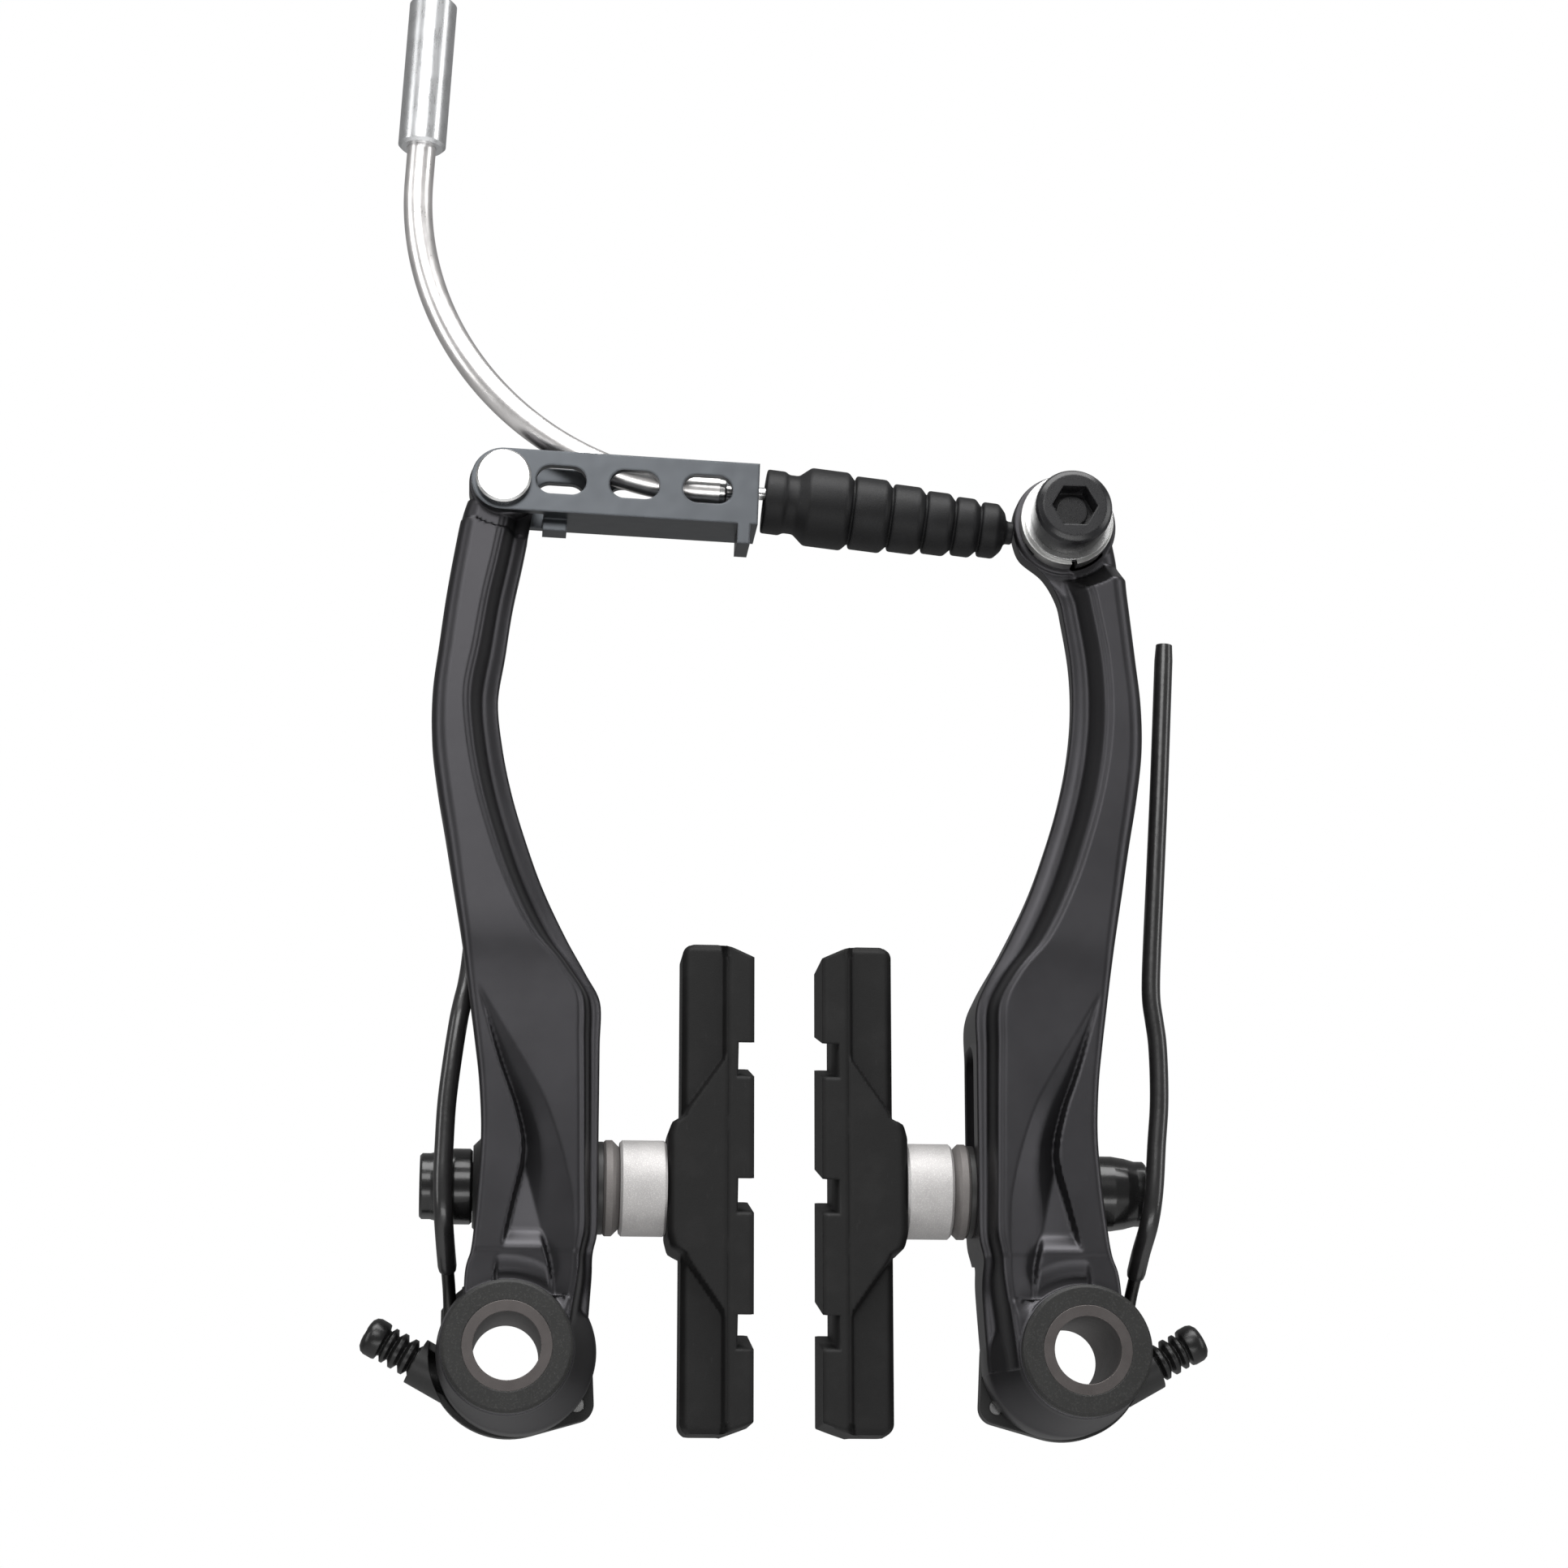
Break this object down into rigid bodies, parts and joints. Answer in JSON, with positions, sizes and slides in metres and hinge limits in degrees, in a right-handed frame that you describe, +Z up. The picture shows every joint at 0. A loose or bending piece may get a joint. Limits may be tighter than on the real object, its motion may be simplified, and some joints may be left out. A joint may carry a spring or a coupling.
{
  "type": "linear-pull rim brake",
  "caption": "Linear-pull rim brake: two pivoting arms with pads, return springs, a pivoting link with a bent lead pipe, a rubber boot and a cable clamp.",
  "frame": {"origin": "midway between the two frame studs' axes, in the plane of the stud shoulders that the spring plates rest on", "axes": "+X to the right in the picture, +Y towards the frame behind the brake, along the studs, and +Z up the arms"},
  "size_m": [0.1044, 0.0253, 0.1827],
  "materials": {
    "sleeve_steel": "dark satin",
    "ring_black": "speckled black",
    "pin_steel": "bright",
    "spring_steel": "dark satin",
    "spring_cover": "gloss",
    "bolt_black": "satin black",
    "arm_metal": "satin black anodised",
    "hook_metal": "satin",
    "link_metal": "satin black",
    "pipe_steel": "polished",
    "ferrule_metal": "polished",
    "boot_rubber": "matte",
    "pad_rubber": "matte",
    "spacer_metal": "rough cast",
    "washer_metal": "dull"
  },
  "bodies": {
    "frame_side": {"left_pivot_sleeve": "sleeve_steel", "right_pivot_sleeve": "sleeve_steel", "left_cap_ring": "ring_black", "right_cap_ring": "ring_black", "left_spring_plate": "ring_black", "right_spring_plate": "ring_black", "left_stop_pin": "pin_steel", "right_stop_pin": "pin_steel", "left_return_spring": "spring_steel", "right_return_spring": "spring_steel", "left_spring_sleeve": "spring_cover", "right_spring_sleeve": "spring_cover"},
    "left_tension_screw": {"left_tension_screw": "bolt_black"},
    "right_tension_screw": {"right_tension_screw": "bolt_black"},
    "left_arm": {"left_arm": "arm_metal", "left_spring_hook": "hook_metal", "link_rivet": "pin_steel"},
    "right_arm": {"right_arm": "arm_metal", "right_spring_hook": "hook_metal", "clamp_plate": "pin_steel", "clamp_washer": "pin_steel"},
    "clamp_bolt": {"clamp_bolt": "bolt_black"},
    "link": {"link": "link_metal"},
    "lead_pipe": {"lead_pipe": "pipe_steel", "pipe_nose": "pin_steel", "ferrule": "ferrule_metal", "boot": "boot_rubber"},
    "left_pad_carrier": {"left_spacer": "spacer_metal", "left_inner_dome_washer": "washer_metal", "left_inner_cup_washer": "bolt_black", "left_outer_cup_washer": "bolt_black", "left_outer_dome_washer": "washer_metal", "left_pad_nut": "bolt_black"},
    "left_pad": {"left_pad": "pad_rubber", "left_pad_post": "hook_metal"},
    "right_pad_carrier": {"right_spacer": "spacer_metal", "right_inner_dome_washer": "washer_metal", "right_inner_cup_washer": "bolt_black", "right_outer_cup_washer": "bolt_black", "right_outer_dome_washer": "washer_metal", "right_pad_nut": "bolt_black"},
    "right_pad": {"right_pad": "pad_rubber", "right_pad_post": "hook_metal"}
  },
  "joints": [
    {"name": "left_pivot", "type": "hinge", "parent": "frame_side", "child": "left_arm", "pos_m": [-0.0344, 0, 0], "axis": [0, -1, 0], "range_deg": [0, 30], "deforming": ["left_return_spring", "left_spring_sleeve"]},
    {"name": "right_pivot", "type": "hinge", "parent": "frame_side", "child": "right_arm", "pos_m": [0.0344, 0, 0], "axis": [0, 1, 0], "range_deg": [0, 30], "deforming": ["right_return_spring", "right_spring_sleeve"]},
    {"name": "left_pad_height", "type": "slide", "parent": "left_arm", "child": "left_pad_carrier", "axis": [0, 0, 1], "range_m": [0, 0.01]},
    {"name": "left_pad_tilt", "type": "hinge", "parent": "left_pad_carrier", "child": "left_pad", "pos_m": [-0.0344, -0.0056, 0.0203], "axis": [1, 0, 0], "range_deg": [-15, 15]},
    {"name": "left_spring_tension", "type": "hinge", "parent": "frame_side", "child": "left_tension_screw", "pos_m": [-0.0452, -0.0022, -0.0005], "axis": [0.8746, 0, -0.4848], "continuous": true},
    {"name": "right_pad_height", "type": "slide", "parent": "right_arm", "child": "right_pad_carrier", "axis": [0, 0, 1], "range_m": [0, 0.01]},
    {"name": "right_pad_tilt", "type": "hinge", "parent": "right_pad_carrier", "child": "right_pad", "pos_m": [0.0344, -0.0056, 0.0203], "axis": [1, 0, 0], "range_deg": [-15, 15]},
    {"name": "right_spring_tension", "type": "hinge", "parent": "frame_side", "child": "right_tension_screw", "pos_m": [0.0452, -0.0022, -0.0005], "axis": [-0.8746, 0, -0.4848], "continuous": true},
    {"name": "link_swing", "type": "hinge", "parent": "left_arm", "child": "link", "pos_m": [-0.0368, 0, 0.1071], "axis": [0, -1, 0], "range_deg": [0, 70]},
    {"name": "pipe_swivel", "type": "hinge", "parent": "link", "child": "lead_pipe", "pos_m": [-0.00877, -0.0136, 0.10747], "axis": [0.9993, 0, -0.0366], "range_deg": [-10, 10]},
    {"name": "clamp_turn", "type": "hinge", "parent": "right_arm", "child": "clamp_bolt", "pos_m": [0.0345, -0.0138, 0.1046], "axis": [0, 1, 0], "continuous": true}
  ]
}
